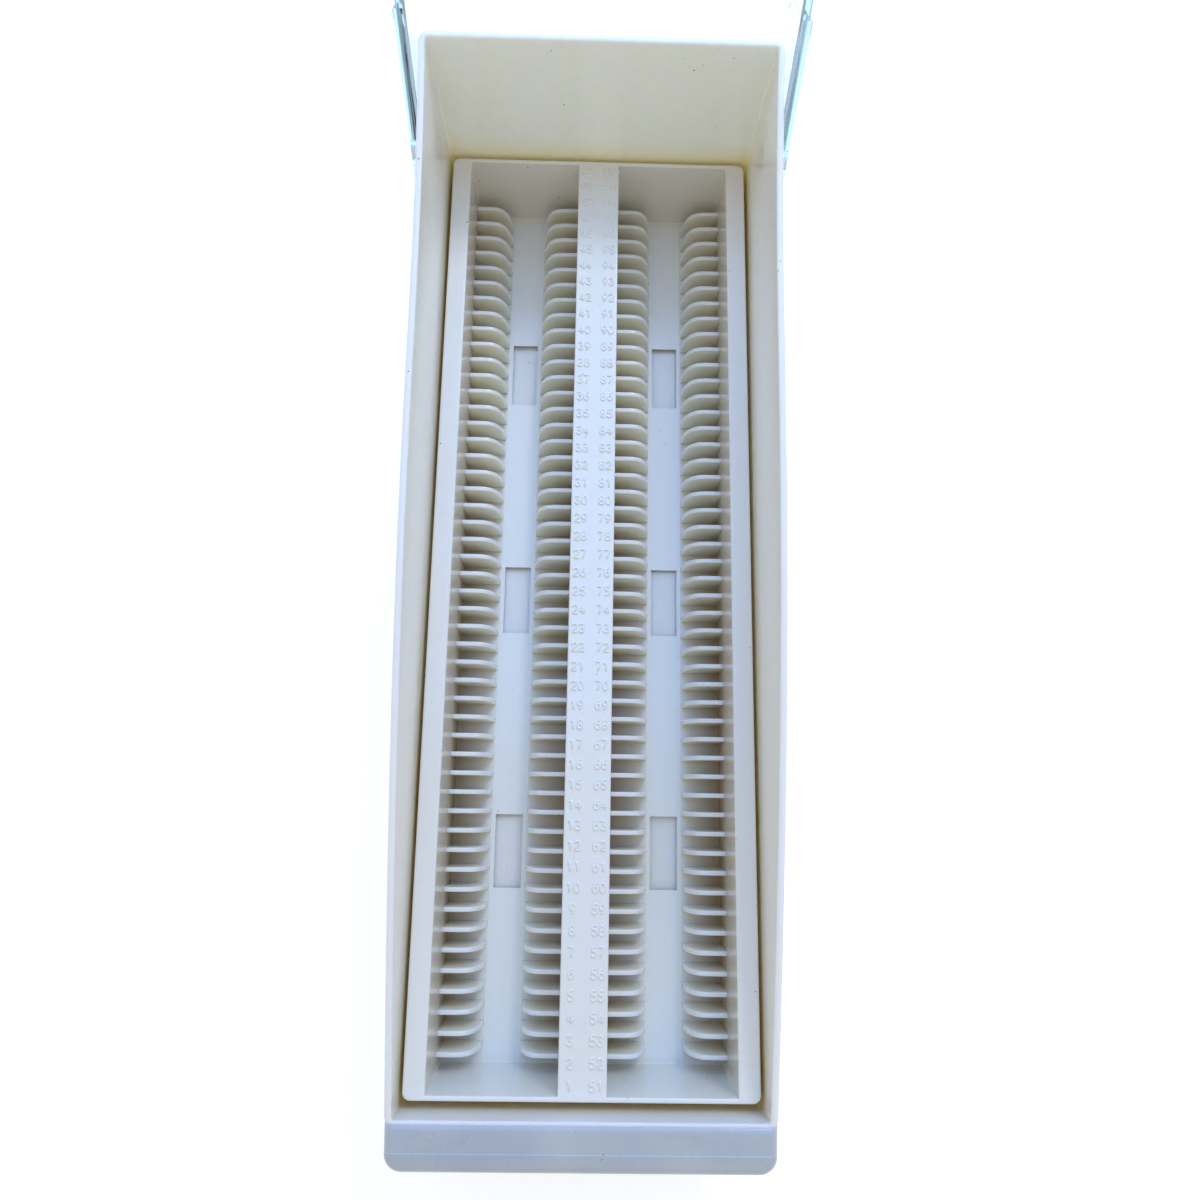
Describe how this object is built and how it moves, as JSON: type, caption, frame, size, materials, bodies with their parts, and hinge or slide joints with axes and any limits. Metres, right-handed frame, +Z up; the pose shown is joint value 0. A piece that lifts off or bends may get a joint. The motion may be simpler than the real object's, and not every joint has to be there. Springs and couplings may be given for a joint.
{
  "type": "microscope slide box",
  "caption": "Moulded box that files microscope slides upright in a lift-out rack of numbered slots, under a clear lid hinged near the raised back.",
  "frame": {"origin": "on the base's underside, below the middle of the rack", "axes": "+Z up from the surface it stands on, +Y to the raised back and the hinge, +X to the right seen from the front"},
  "size_m": [0.0836, 0.3507, 0.2298],
  "materials": {
    "base_ivory": "satin moulded polystyrene, ivory",
    "rack_ivory": "satin moulded polystyrene, ivory",
    "lid_clear": "clear polished polystyrene"
  },
  "bodies": {
    "base": {"base": "base_ivory"},
    "rack": {"rack": "rack_ivory"},
    "lid": {"lid": "lid_clear"}
  },
  "joints": [
    {"name": "lid_hinge", "type": "hinge", "parent": "base", "child": "lid", "pos_m": [0, 0.09695, 0.0409], "axis": [-1, 0, 0], "range_deg": [-118, 0]},
    {"name": "rack_lift", "type": "slide", "parent": "base", "child": "rack", "axis": [0, 0, 1], "range_m": [0, 0.0572]}
  ]
}
